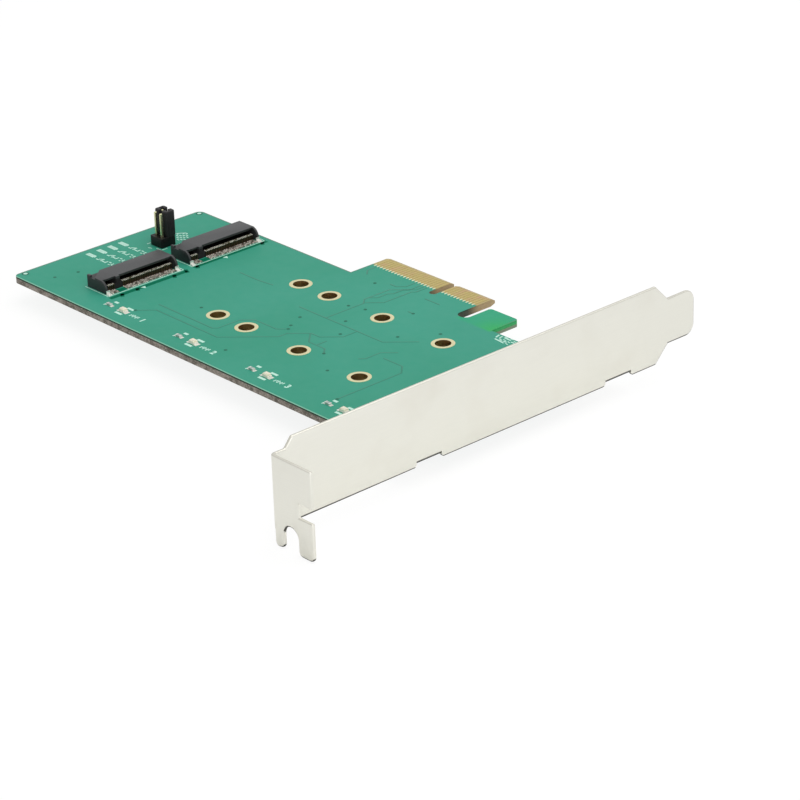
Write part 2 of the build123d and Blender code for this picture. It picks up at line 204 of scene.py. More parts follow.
# Green solder mask over copper on glass epoxy: smooth and satin, brighter where no copper lies below.
# The milled walls are bare glass epoxy: rough, brown-grey and speckled with cut fibres.
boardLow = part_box("board")[0]
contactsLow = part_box("edge_contacts_top")[0]
boardLeft, boardNear = boardLow.x / mm, boardLow.y / mm
tongueLeft, contactEnd = contactsLow.x / mm, contactsLow.y / mm
boardLook = {
    "overCopper": "#32987D",
    "overCopperPale": "#3B9E86",
    "overLaminate": "#2DA57C",
    "hookCorner": "#30AE60",
    "nearEdgeHighlight": "#8CC8AE",
    "farLine": "#6E8577",
    "bareLaminate": "#B9A873",
    "wallDark": "#6A655C",
    "wallPale": "#9B938A",
    "wallSpeck": "#CFC2BC",
    "wallTopShade": "#33453A",
    "tongueWall": "#BFA67E",
    "slotEndWall": "#4A5448",
    "hookWallTop": "#3DB56C",
    "hookWall": "#8B9A84",
    "lineWidth": 0.3,
    "lineSoftness": 0.08,
    "farEdge": -12.4,
    "lineShares": {"far": 0.8, "near": 0.85},
    "wallShares": {"tongue": 0.85, "hook": 0.9},
    "cloud": 40.0,
    "cloudRange": (0.35, 0.65),
    "layer": 1.3,
    "layerRange": (0.38, 0.62),
    "fibre": 0.3,
    "speckRange": (0.56, 0.68),
    "glossPatch": 3.0,
    "glossRange": (0.2, 0.8),
    "gloss": (0.48, 0.58),
    "faceRange": (0.96, 0.97),
    "wallRoughness": 0.9,
    "fibreDepth": 0.03,
    "fibreOnMask": 0.12,
}
lineEnd = boardLook["lineWidth"]
lineStart = lineEnd + boardLook["lineSoftness"]
boardZones = {
    "nearEdgeHighlight": [("y", boardNear + lineStart, boardNear + lineEnd)],
    "leftLine": [("x", boardLeft + lineStart, boardLeft + lineEnd)],
    "farLine": [("y", boardLook["farEdge"] - lineStart, boardLook["farEdge"] - lineEnd)],
    "besideTongue": [("x", tongueLeft - 0.4, tongueLeft - 0.6)],
    "beyondHook": [("x", 24.6, 24.9)],
    "hook": [("x", 13.6, 14.4), ("y", -14.0, -13.0), ("x", 25.6, 24.8)],
    "hookCorner": [("x", 19.0, 25.0), ("y", -5.0, -11.0)],
    "bareTongue": [("y", contactEnd - 0.35, contactEnd - 0.3), ("x", 14.0, 13.9)],
    "wallTopShade": [("z", -0.42, -0.3)],
    "tongueWall": [("x", 15.0, 14.6), ("y", -12.0, -11.0), ("x", tongueLeft - 1.2, tongueLeft - 0.9)],
    "slotMouth": [("y", -8.5, -5.0)],
    "hookWall": [("x", 24.0, 24.4), ("y", -13.2, -12.8)],
    "hookWallTop": [("z", -0.95, -0.8)],
}
boardPaint, tree, shader = newMaterial("solderMaskOnGlassEpoxy", {"Specular IOR Level": 0.22})
spot = readSpot(tree)
inZone = {name: zoneShare(tree, spot, zone) for name, zone in boardZones.items()}
clouds = addNode(tree, "TexNoise", {"Vector": spot["place"], "Scale": 1 / (boardLook["cloud"] * mm),
                                    "Detail": 2.0})
fibres = addNode(tree, "TexNoise", {"Vector": spot["place"], "Scale": 1 / (boardLook["fibre"] * mm),
                                    "Detail": 5.0, "Roughness": 0.65})
layers = addNode(tree, "TexNoise", {"Vector": spot["place"], "Scale": 1 / (boardLook["layer"] * mm),
                                    "Detail": 4.0})
patches = addNode(tree, "TexNoise", {"Vector": spot["place"], "Scale": 1 / (boardLook["glossPatch"] * mm),
                                     "Detail": 3.0})
flatness = addNode(tree, "Math", {"operation": "ABSOLUTE", 0: spot["upward"]}).outputs[0]
isFace = zoneShare(tree, spot, [(flatness, *boardLook["faceRange"])])
besideEither = gather(tree, [inZone["besideTongue"], inZone["beyondHook"]], "MAXIMUM")
farLine = gather(tree, [gather(tree, [inZone["farLine"], besideEither]), inZone["leftLine"]], "MAXIMUM")
mask = layColours(tree, boardLook["overCopper"], [
    (boardLook["overCopperPale"], zoneShare(tree, spot, [(clouds.outputs[0], *boardLook["cloudRange"])])),
    (boardLook["overLaminate"], inZone["hook"]),
    (boardLook["farLine"], gather(tree, [farLine, boardLook["lineShares"]["far"]])),
    # a pale painted highlight along the board's near top edge
    (boardLook["nearEdgeHighlight"], gather(tree, [inZone["nearEdgeHighlight"], boardLook["lineShares"]["near"]])),
    (boardLook["hookCorner"], gather(tree, [inZone["hookCorner"], inZone["hook"]])),
    (boardLook["bareLaminate"], inZone["bareTongue"]),
])
# the tongue's walls are cleaner, and the slot's inner end lies in shade
tongueWall = layColours(tree, boardLook["slotEndWall"], [(boardLook["tongueWall"], inZone["slotMouth"])])
hookWall = layColours(tree, boardLook["hookWall"], [(boardLook["hookWallTop"], inZone["hookWallTop"])])
wall = layColours(tree, boardLook["wallDark"], [
    (boardLook["wallPale"], zoneShare(tree, spot, [(layers.outputs[0], *boardLook["layerRange"])])),
    (boardLook["wallSpeck"], zoneShare(tree, spot, [(fibres.outputs[0], *boardLook["speckRange"])])),
    # a dark painted shade line along the top of each wall, under the mask's edge
    (boardLook["wallTopShade"], inZone["wallTopShade"]),
    (tongueWall, gather(tree, [inZone["tongueWall"], boardLook["wallShares"]["tongue"]])),
    (hookWall, gather(tree, [inZone["hookWall"], boardLook["wallShares"]["hook"]])),
])
tree.links.new(layColours(tree, wall, [(mask, isFace)]), shader.inputs["Base Color"])
inPatch = zoneShare(tree, spot, [(patches.outputs[0], *boardLook["glossRange"])])
maskGloss = addNode(tree, "MapRange", {"Value": inPatch, "To Min": boardLook["gloss"][0],
                                       "To Max": boardLook["gloss"][1]})
roughness = addNode(tree, "MapRange", {"Value": isFace, "To Min": boardLook["wallRoughness"],
                                       "To Max": maskGloss.outputs[0]})
tree.links.new(roughness.outputs[0], shader.inputs["Roughness"])
depth = addNode(tree, "MapRange", {"Value": isFace, "To Min": 1.0, "To Max": boardLook["fibreOnMask"]})
bump = addNode(tree, "Bump", {"Height": fibres.outputs[0], "Strength": depth.outputs[0],
                              "Distance": boardLook["fibreDepth"] * mm})
tree.links.new(bump.outputs[0], shader.inputs["Normal"])

grainDepth = 0.01
grainRange = (0.3, 0.7)
patchRange = (0.5, 0.75)


def grainyMaterial(name, colours, settings, grain):
    # two tones and two roughnesses follow one fine grain, and a third tone comes in patches
    material, tree, shader = newMaterial(name, settings)
    place = addNode(tree, "TexCoord", {}).outputs["Object"]
    mapping = addNode(tree, "Mapping", {"Vector": place, "Scale": [1 / (s * mm) for s in grain["size"]]})
    noise = addNode(tree, "TexNoise", {"Vector": mapping.outputs[0], "Scale": 1.0, "Detail": 4.0})
    share = zoneShare(tree, {}, [(noise.outputs[0], *grainRange)])
    colour = layColours(tree, colours[0], [(colours[1], share)])
    if len(colours) > 2:
        patches = addNode(tree, "TexNoise", {"Vector": place, "Scale": 1 / (grain["patch"] * mm),
                                             "Detail": 3.0})
        inPatch = zoneShare(tree, {}, [(patches.outputs[0], *patchRange)])
        colour = layColours(tree, colour, [(colours[2], inPatch)])
    tree.links.new(colour, shader.inputs["Base Color"])
    low, high = grain["roughness"]
    roughness = addNode(tree, "MapRange", {"Value": share, "To Min": low, "To Max": high})
    tree.links.new(roughness.outputs[0], shader.inputs["Roughness"])
    bump = addNode(tree, "Bump", {"Height": noise.outputs[0], "Strength": grain["bump"],
                                  "Distance": grainDepth * mm})
    tree.links.new(bump.outputs[0], shader.inputs["Normal"])
    return material


# Mask over a copper track: the same ink, a little darker on the raised line.
trackMask = grainyMaterial("solderMaskOverTrack", ("#27806A", "#2D866F"), {"Specular IOR Level": 0.25},
                           {"size": (0.5, 0.5, 0.5), "roughness": (0.34, 0.42), "bump": 0.1})
# Mask sunk in a small drilled hole: dark and dull.
viaDark = grainyMaterial("solderMaskInVia", ("#1F6450", "#27705A"), {"Specular IOR Level": 0.2},
                         {"size": (0.2, 0.2, 0.2), "roughness": (0.5, 0.6), "bump": 0.2})
# Dull, deep green mask, for dark strips beside the sockets and for painted shade between the contact groups.
darkStripMask = grainyMaterial("darkStripMaskAndShade", ("#066A4D", "#0C7356"), {"Specular IOR Level": 0.05},
                          {"size": (0.4, 0.4, 0.4), "roughness": (0.5, 0.6), "bump": 0.1})
# Hard gold on copper, wiped smooth along the way the card goes in.
edgeGold = grainyMaterial("hardGoldPlate", ("#C2AE62", "#D0C07C", "#D2A884"), {"Metallic": 1.0},
                          {"size": (0.08, 1.5, 0.4), "roughness": (0.26, 0.38), "bump": 0.1, "patch": 3.5})
# Immersion gold on copper: paler and more matt than hard gold.
ringGold = grainyMaterial("immersionGold", ("#DDD4A2", "#EAE2BE"), {"Metallic": 1.0},
                          {"size": (0.3, 0.3, 0.3), "roughness": (0.36, 0.46), "bump": 0.15})
# Thin necks that run under the mask: the palest gold on the board.
neckGold = grainyMaterial("immersionGoldNeck", ("#EFECC0", "#FAF8DA"), {"Metallic": 0.5},
                          {"size": (0.2, 0.2, 0.2), "roughness": (0.4, 0.5), "bump": 0.15})

# The same gold round the drilled holes, with painted shade inside the barrels: a darker brown below the rim.
holeLook = {"ring": "#DDD4A2", "ringPale": "#EAE2BE", "barrel": "#B4905C", "rim": (-0.03, 0.0), "grain": 0.3,
            "roughness": (0.34, 0.48), "bump": 0.2}
barrelGold, tree, shader = newMaterial("immersionGoldHoles", {"Metallic": 1.0})
spot = readSpot(tree)
grain = addNode(tree, "TexNoise", {"Vector": spot["place"], "Scale": 1 / (holeLook["grain"] * mm),
                                   "Detail": 3.0}).outputs[0]
ringTone = layColours(tree, holeLook["ring"], [
    (holeLook["ringPale"], zoneShare(tree, spot, [(grain, *grainRange)]))])
colour = layColours(tree, holeLook["barrel"], [(ringTone, zoneShare(tree, spot, [("z", *holeLook["rim"])]))])
tree.links.new(colour, shader.inputs["Base Color"])
roughness = addNode(tree, "MapRange", {"Value": grain, "To Min": holeLook["roughness"][0],
                                       "To Max": holeLook["roughness"][1]})
tree.links.new(roughness.outputs[0], shader.inputs["Roughness"])
bump = addNode(tree, "Bump", {"Height": grain, "Strength": holeLook["bump"], "Distance": grainDepth * mm})
tree.links.new(bump.outputs[0], shader.inputs["Normal"])

# Glass-filled liquid crystal polymer, moulded: black, faintly grainy and satin.
socketPlastic = grainyMaterial("mouldedPolymerBlack", ("#1B1C1E", "#222325", "#2A2B2C"),
                               {"Specular IOR Level": 0.5},
                               {"size": (0.25, 0.25, 0.25), "roughness": (0.42, 0.54), "bump": 0.18,
                                "patch": 4.0})
# Inside the slots no light reaches: painted shade darkens them and the plastic is dull. The flat tops are
# painted greyer as a painted sheen.
socketRows = {"front": -49.55, "rear": -25.05}
socketLook = {
    "inSlot": "#070708",
    "inSlotRoughness": 0.95,
    "paintedSheenTop": "#3B3C3D",
    "paintedSheenTopPale": "#434446",
    "sheenGrain": 0.5,
    "slotZone": [("x", -57.7, -57.6), ("z", 2.5, 2.4)],
    "slotHalfLength": (10.0, 9.9),
    "topZone": [("upward", 0.9, 0.97), ("z", 2.6, 2.7)],
}
tree = socketPlastic.node_tree
shader = tree.nodes["Principled BSDF"]
spot = readSpot(tree)
moulded = shader.inputs["Base Color"].links[0].from_socket
satin = shader.inputs["Roughness"].links[0].from_socket
# how far a point lies from the middle of its own row, the same for both rows
pairMiddle = sum(socketRows.values()) / 2
halfPitch = (socketRows["rear"] - socketRows["front"]) / 2
fromMiddle = spot["y"]
for shift in (pairMiddle, halfPitch):
    fromMiddle = addNode(tree, "Math", {"operation": "SUBTRACT", 0: fromMiddle, 1: shift * mm}).outputs[0]
    fromMiddle = addNode(tree, "Math", {"operation": "ABSOLUTE", 0: fromMiddle}).outputs[0]
slotEnds = [limit * mm for limit in socketLook["slotHalfLength"]]
inSlot = zoneShare(tree, spot, socketLook["slotZone"] + [(fromMiddle, *slotEnds)])
sheenNoise = addNode(tree, "TexNoise", {"Vector": spot["place"], "Scale": 1 / (socketLook["sheenGrain"] * mm),
                                       "Detail": 3.0})
paintedSheenTop = layColours(tree, socketLook["paintedSheenTop"], [
    (socketLook["paintedSheenTopPale"], zoneShare(tree, spot, [(sheenNoise.outputs[0], *grainRange)]))])
# the flat tops get a grey painted sheen, the slots a near-black painted shade
colour = layColours(tree, moulded, [(paintedSheenTop, zoneShare(tree, spot, socketLook["topZone"])),
                                    (socketLook["inSlot"], inSlot)])
tree.links.new(colour, shader.inputs["Base Color"])
dulled = addNode(tree, "MapRange", {"Value": inSlot, "To Min": satin,
                                    "To Max": socketLook["inSlotRoughness"]})
tree.links.new(dulled.outputs[0], shader.inputs["Roughness"])

# Moulded nylon of the header: deep black, with fine flow marks.
headerPlastic = grainyMaterial("mouldedNylonBlack", ("#0A0909", "#110F10"), {"Specular IOR Level": 0.25},
                               {"size": (0.3, 0.3, 1.2), "roughness": (0.4, 0.52), "bump": 0.15})
# The cap is the same nylon, painted greyer to stand in for the highlights on its top and edges.
capPlastic = grainyMaterial("mouldedNylonGrey", ("#1B1A1C", "#232224"), {"Specular IOR Level": 0.3},
                            {"size": (0.3, 0.3, 1.2), "roughness": (0.42, 0.52), "bump": 0.15})
# Gold flash on the square pins, drawn along their length.
pinGold = grainyMaterial("goldFlashWire", ("#CBCB98", "#DEDEB8"), {"Metallic": 1.0},
                         {"size": (0.1, 0.1, 1.5), "roughness": (0.24, 0.34), "bump": 0.1})
# Solder and tin: soft grey-white, lumpy, with duller patches.
tinned = grainyMaterial("tinnedCopper", ("#E2E1DB", "#F8F8F3", "#CCCAC3"), {"Metallic": 0.7},
                        {"size": (0.2, 0.2, 0.2), "roughness": (0.28, 0.45), "bump": 0.5, "patch": 0.6})
# Spring brass of the clip in the cap: yellow, brushed along its height.
clipBrass = grainyMaterial("springBrass", ("#CDB978", "#D8C68C"), {"Metallic": 1.0},
                           {"size": (0.2, 0.2, 0.8), "roughness": (0.3, 0.4), "bump": 0.15})
# Polyamide carriers of the lights: warm white, softly matt.
lightWhite = grainyMaterial("mouldedPolyamideWhite", ("#E9E7D9", "#F1EFE4"), {"Specular IOR Level": 0.4},
                            {"size": (0.3, 0.3, 0.3), "roughness": (0.4, 0.5), "bump": 0.1})
# Cast epoxy lenses: cream and glossy.
lensCream = grainyMaterial("castEpoxyCream", ("#E9E2C4", "#F3EEDB"),
                           {"Coat Weight": 0.6, "Coat Roughness": 0.1},
                           {"size": (0.5, 0.5, 0.5), "roughness": (0.25, 0.35), "bump": 0.05})
# Ceramic resistor bodies under a grey-green glaze.
resistorGlaze = grainyMaterial("glazedCeramicGrey", ("#8FA39A", "#A3B5AC"), {"Coat Weight": 0.5},
                               {"size": (0.2, 0.2, 0.2), "roughness": (0.3, 0.4), "bump": 0.15})
# Screened ink: chalky white, thin enough that the green shows faintly.
printInk = grainyMaterial("screenedInkWhite", ("#B4EAD7", "#D6F8EA"), {"Specular IOR Level": 0.3},
                          {"size": (0.25, 0.25, 0.25), "roughness": (0.6, 0.75), "bump": 0.3})

# Zinc-plated cold-rolled steel: bright, warm grey, faintly streaked along the sheet.
bracketSteel = grainyMaterial("zincPlatedSheet", ("#EDECE4", "#EFEEE6", "#E9E7DE"), {"Metallic": 1.0},
                              {"size": (6.0, 6.0, 0.3), "roughness": (0.42, 0.47), "bump": 0.02,
                               "patch": 14.0})
# The plate's lower cut edges, the foot's and the tongue's lower edges and part of the tongue's end carry a
# dark painted shade line; the upward cut edges are painted a little darker.
sheetLook = {
    "lowerEdgeShade": "#4A4843",
    "darkerTopEdge": "#D2D0C6",
    "onPlate": [("x", 58.05, 58.15)],
    "cutBelow": [("upward", -0.15, -0.25), ("z", 4.2, 4.0)],
    "footEdgeShade": [("z", -2.72, -2.82), ("y", -103.0, -102.6)],
    "tongueFoot": [("z", 1.22, 1.12), ("y", 7.4, 7.6)],
    "tongueEnd": [("y", 15.62, 15.72)],
    "tongueEndShare": 0.7,
    "cutAbove": [("upward", 0.25, 0.35)],
}
tree = bracketSteel.node_tree
shader = tree.nodes["Principled BSDF"]
spot = readSpot(tree)
plated = shader.inputs["Base Color"].links[0].from_socket
# where the dark painted shade line runs along the lower edges
edges = [zoneShare(tree, spot, sheetLook[zone]) for zone in ("cutBelow", "footEdgeShade", "tongueFoot")]
edges.append(gather(tree, [zoneShare(tree, spot, sheetLook["tongueEnd"]), sheetLook["tongueEndShare"]]))
edgeShade = gather(tree, [gather(tree, edges, "MAXIMUM"), zoneShare(tree, spot, sheetLook["onPlate"])])
colour = layColours(tree, plated, [(sheetLook["darkerTopEdge"], zoneShare(tree, spot, sheetLook["cutAbove"])),
                                   (sheetLook["lowerEdgeShade"], edgeShade)])
tree.links.new(colour, shader.inputs["Base Color"])

# Zinc-plated screws: smoother and brighter than the sheet.
screwSteel = grainyMaterial("zincPlatedScrewSteel", ("#CFCDC6", "#DDDBD4"), {"Metallic": 1.0},
                            {"size": (0.3, 0.3, 0.3), "roughness": (0.25, 0.35), "bump": 0.1})

# Socket contacts: tinned where soldered; up the front a dark brown painted shade on the shank, darker
# painted shade on the high parts inside the slot, and pale gold tips painted near white as a highlight on
# their tops.
contactLook = {
    "foot": "#F2E2DA",
    "footDull": "#77625A",
    "shank": "#4A3E28",
    "inner": "#17160F",
    "tip": "#FFFCEC",
    "tipDull": "#7C7556",
    "footZone": [("z", 0.3, 0.2)],
    "highZone": [("z", 1.36, 1.46)],
    "outerZone": [("x", -54.95, -54.75)],
    "footRange": (0.42, 0.6),
    "tipRange": (0.5, 0.62),
    "grain": 0.3,
    "lump": 0.6,
    "metallic": (0.9, 0.3),
    "roughness": (0.28, 0.44),
    "bump": 0.3,
}
contactMetal, tree, shader = newMaterial("platedContactAlloy", {})
spot = readSpot(tree)
grain = addNode(tree, "TexNoise", {"Vector": spot["place"], "Scale": 1 / (contactLook["grain"] * mm),
                                   "Detail": 3.0}).outputs[0]
lumps = addNode(tree, "TexNoise", {"Vector": spot["place"], "Scale": 1 / (contactLook["lump"] * mm),
                                   "Detail": 1.0}).outputs[0]
foot = layColours(tree, contactLook["foot"], [
    (contactLook["footDull"], zoneShare(tree, spot, [(lumps, *contactLook["footRange"])]))])
tip = layColours(tree, contactLook["tip"], [
    (contactLook["tipDull"], zoneShare(tree, spot, [(lumps, *contactLook["tipRange"])]))])
isFoot = zoneShare(tree, spot, contactLook["footZone"])
isHigh = zoneShare(tree, spot, contactLook["highZone"])
isTip = zoneShare(tree, spot, contactLook["highZone"] + contactLook["outerZone"])
# the shank and the parts inside the slot are painted shade, and the tips' near-white tops are a painted
# highlight
colour = layColours(tree, contactLook["shank"], [
    (foot, isFoot), (contactLook["inner"], isHigh), (tip, isTip)])
tree.links.new(colour, shader.inputs["Base Color"])
# solder and dull plating scatter light, the bent shank mirrors it
metalness = addNode(tree, "MapRange", {"Value": gather(tree, [isFoot, isTip], "MAXIMUM"),
                                       "To Min": contactLook["metallic"][0],
                                       "To Max": contactLook["metallic"][1]})
tree.links.new(metalness.outputs[0], shader.inputs["Metallic"])
roughness = addNode(tree, "MapRange", {"Value": grain, "To Min": contactLook["roughness"][0],
                                       "To Max": contactLook["roughness"][1]})
tree.links.new(roughness.outputs[0], shader.inputs["Roughness"])
bump = addNode(tree, "Bump", {"Height": grain, "Strength": contactLook["bump"], "Distance": grainDepth * mm})
tree.links.new(bump.outputs[0], shader.inputs["Normal"])
print("materials ready")

paints = {
    "board": boardPaint,
    "front_hole_platings": barrelGold,
    "rear_hole_platings": barrelGold,
    "edge_contacts_top": edgeGold,
    "edge_contacts_bottom": edgeGold,
    "header_pins": pinGold,
    "jumper_clip": clipBrass,
    "resistor_terminals": tinned,
    "resistor_bodies": resistorGlaze,
    "light_bodies": lightWhite,
    "light_lenses": lensCream,
}
for side in socketRows:
    paints[f"{side}_socket_lower_contacts"] = contactMetal
    paints[f"{side}_socket_upper_contacts"] = contactMetal
    paints[f"{side}_socket_solder_tabs"] = tinned
for name, paint in paints.items():
    nodes[name].data.materials.clear()
    nodes[name].data.materials.append(paint)

# tools for the pieces

roundAngle = math.radians(40)
roundSteps = 5


def applyModifier(obj, kind, **settings):
    pick(obj)
    modifier = obj.modifiers.new(kind.title(), kind)
    for name, value in settings.items():
        setattr(modifier, name, value)
    bpy.ops.object.modifier_apply(modifier=modifier.name)


def finishPiece(piece, paint, replaced=()):
    piece.data.materials.clear()
    piece.data.materials.append(paint)
    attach(piece, "root")
    if replaced:
        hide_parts(*replaced)


copied = {"merge": 0.06, "flat": 0.5, "sharp": 30.0}


def copyPart(nodeName, pieceName, bevel, segments=2, sharpZones=()):
    piece = nodes[nodeName].copy()
    piece.data = nodes[nodeName].data.copy()
    piece.name = pieceName
    piece.data.name = pieceName
    piece.parent = None
    for key in list(piece.keys()):
        del piece[key]
    bpy.context.scene.collection.objects.link(piece)
    pick(piece)
    bpy.ops.object.mode_set(mode="EDIT")
    bpy.ops.mesh.select_mode(type="EDGE")
    bpy.ops.mesh.select_all(action="SELECT")
    bpy.ops.mesh.remove_doubles(threshold=copied["merge"] * mm)
    bpy.ops.mesh.dissolve_limited(angle_limit=math.radians(copied["flat"]))
    bpy.ops.mesh.normals_make_consistent(inside=False)
    bpy.ops.mesh.select_all(action="DESELECT")
    bpy.ops.mesh.edges_select_sharp(sharpness=math.radians(copied["sharp"]))
    bpy.ops.object.mode_set(mode="OBJECT")
    # only the sharp edges outside the given zones are rounded
    weights = piece.data.attributes.new("bevel_weight_edge", "FLOAT", "EDGE")
    for edge, weight in zip(piece.data.edges, weights.data):
        middle = sum((piece.data.vertices[k].co for k in edge.vertices), Vector()) / 2 / mm
        kept = any(all(low <= v <= high for v, low, high in zip(middle, *zone)) for zone in sharpZones)
        weight.value = 1.0 if edge.select and not kept else 0.0
    applyModifier(piece, "BEVEL", width=bevel * mm, segments=segments, limit_method="WEIGHT",
                  use_clamp_overlap=False)
    pick(piece)
    bpy.ops.object.shade_smooth_by_angle(angle=math.radians(copied["sharp"]))
    return piece


def addBox(place, size, turn=0.0):
    bpy.ops.mesh.primitive_cube_add(size=1.0, location=[v * mm for v in place], rotation=(0, 0, turn))
    box = bpy.context.object
    box.scale = [v * mm for v in size]
    bpy.ops.object.transform_apply(location=True, rotation=True, scale=True)
    return box


def addDisc(radius, height, sides):
    bpy.ops.mesh.primitive_cylinder_add(vertices=sides, radius=radius * mm, depth=height * mm)
    return bpy.context.object


def joinAll(objects, name):
    deselectAll()
    for obj in objects:
        obj.select_set(True)
    bpy.context.view_layer.objects.active = objects[0]
    if len(objects) > 1:
        bpy.ops.object.join()
    piece = bpy.context.object
    piece.name = name
    piece.data.name = name
    return piece


def repeatAt(source, places):
    copies = [source]
    for place in places[1:]:
        twin = source.copy()
        twin.data = source.data.copy()
        bpy.context.scene.collection.objects.link(twin)
        copies.append(twin)
    for twin, place in zip(copies, places):
        twin.location = [v * mm for v in place]
    deselectAll()
    for twin in copies:
        twin.select_set(True)
    bpy.context.view_layer.objects.active = source
    bpy.ops.object.transform_apply(location=True)
    return copies


def addRidges(routes, width, rise, name):
    # round tubes along the routes, sunk so that only their backs show
    radius = ((width / 2) ** 2 + rise ** 2) / (2 * rise)
    curve = bpy.data.curves.new(name, "CURVE")
    curve.dimensions = "3D"
    curve.bevel_depth = radius * mm
    curve.bevel_resolution = roundSteps
    curve.use_fill_caps = True
    for route in routes:
        line = curve.splines.new("POLY")
        line.points.add(len(route) - 1)
        for point, (px, py) in zip(line.points, route):
            point.co = (px * mm, py * mm, (rise - radius) * mm, 1)
    ridges = bpy.data.objects.new(name, curve)
    bpy.context.scene.collection.objects.link(ridges)
    pick(ridges)
    bpy.ops.object.convert(target="MESH")
    bpy.ops.object.shade_smooth_by_angle(angle=roundAngle)
    return bpy.context.object


def addBars(routes, width, height):
    # flat bars on the board's face, one for each stretch of each route
    bars = []
    for route in routes:
        for (ax, ay), (bx, by) in zip(route[:-1], route[1:]):
            length = math.hypot(bx - ax, by - ay) + width
            bars.append(addBox(((ax + bx) / 2, (ay + by) / 2, height / 2), (length, width, height),
                               math.atan2(by - ay, bx - ax)))
    return bars


# tracks under the mask
tracks = {
    "width": 0.5,
    "rise": 0.04,
    "routes": [
        [(-40.9, -60.6), (-37.8, -57.5), (-16.2, -57.5), (-6.5, -47.8), (-6.5, -45.4), (-2.7, -41.6),
         (0.2, -41.6), (3.9, -37.9), (3.9, -33.9)],
        [(-40.0, -55.1), (-20.8, -55.1), (-19.9, -54.2), (-19.9, -48.0), (-17.4, -45.5), (-10.1, -45.5),
         (-8.4, -43.8)],
        [(-15.9, -33.8), (12.3, -33.8), (18.0, -28.1)],
        [(-6.8, -33.6), (-6.8, -22.4), (-8.4, -20.8), (-8.4, -13.3), (-4.0, -8.9), (-4.0, -6.6)],
        [(-6.8, -22.0), (-3.8, -19.0), (-3.8, -10.6), (-3.0, -9.8), (-3.0, -6.6)],
        [(-8.2, -19.4), (-6.9, -18.1), (-6.9, -15.0), (-6.0, -14.1), (-6.0, -11.2), (-5.0, -10.2),
         (-5.0, -6.6)],
        [(-10.6, -10.9), (-8.6, -10.9), (-7.0, -9.3), (-7.0, -6.6)],
        [(-2.7, -41.8), (0.5, -45.0), (5.8, -45.0), (7.4, -46.6)],
        [(3.0, -44.7), (3.0, -42.0)],
        [(15.1, -43.4), (16.2, -42.3), (16.2, -38.0), (19.0, -35.2)],
        [(18.9, -39.4), (24.9, -39.4), (27.4, -41.9), (27.4, -59.9)],
        [(-41.0, -30.4), (-34.3, -30.4), (-29.8, -29.9)],
        [(-18.9, -10.7), (-20.6, -9.0), (-20.6, -6.6)],
        [(1.3, -11.1), (6.3, -11.1)],
        [(3.9, -18.6), (5.6, -18.6)],
    ],
}
ridges = addRidges(tracks["routes"], tracks["width"], tracks["rise"], "maskedTracks")
finishPiece(ridges, trackMask)

# dark strips beside the sockets with short branches, and painted shade between the contact groups under each
# socket
darkStripsAndShade = {
    "height": 0.012,
    "strips": [[(-50.7, -60.2), (-50.7, -39.0)], [(-51.3, -35.4), (-51.3, -14.4)]],
    "stripWidth": 1.25,
    "branches": [[(-50.6, -57.4), (-49.9, -57.9)], [(-50.6, -53.0), (-50.1, -53.3)],
                 [(-50.6, -42.2), (-49.9, -42.6)], [(-51.2, -38.3), (-50.2, -38.7)],
                 [(-51.2, -34.9), (-50.5, -35.3)], [(-51.2, -15.2), (-50.6, -15.6)]],
    "branchWidth": 0.9,
    # painted shade between the two contact groups, under each socket
    "shadeBetweenContacts": [[(-53.0, rowY - 6.6), (-53.0, rowY - 5.6)] for rowY in socketRows.values()],
    "shadeBetweenWidth": 1.5,
}
gaps = []
gapKinds = (("strips", "stripWidth"), ("branches", "branchWidth"), ("shadeBetweenContacts", "shadeBetweenWidth"))
for routes, width in gapKinds:
    gaps += addBars(darkStripsAndShade[routes], darkStripsAndShade[width], darkStripsAndShade["height"])
finishPiece(joinAll(gaps, "darkStripsAndShade"), darkStripMask)
print("tracks done")

# small plated holes closed by the mask, seen on both faces
boardThickness = 1.6
vias = {
    "radius": 0.4,
    "height": 0.03,
    "sides": 16,
    "places": [(-11.3, -37.5), (-8.2, -43.6), (-9.3, -41.9), (-2.2, -31.9), (2.3, -37.4), (12.6, -29.6),
               (5.6, -18.6), (-13.7, -12.9), (14.9, -52.1), (7.6, -46.8), (-3.9, -24.5), (-8.3, -25.7),
               (-9.4, -60.6), (-31.6, -49.5), (-70.1, -62.1), (18.3, -22.0), (-68.7, -56.4), (-41.2, -60.9),
               (27.4, -60.2)],
}
discs = []
for level in (vias["height"] / 2, -boardThickness - vias["height"] / 2):
    source = addDisc(vias["radius"], vias["height"], vias["sides"])
    discs += repeatAt(source, [(px, py, level) for px, py in vias["places"]])
finishPiece(joinAll(discs, "closedVias"), viaDark)
print("vias done")

# status lights in one row, each with its resistor beside it
lightRow = {"x": -42.7, "y": -63.2, "pitch": 25.25, "count": 4, "resistorShift": -5.1}
lightPlaces = [(lightRow["x"] + lightRow["pitch"] * k, lightRow["y"]) for k in range(lightRow["count"])]

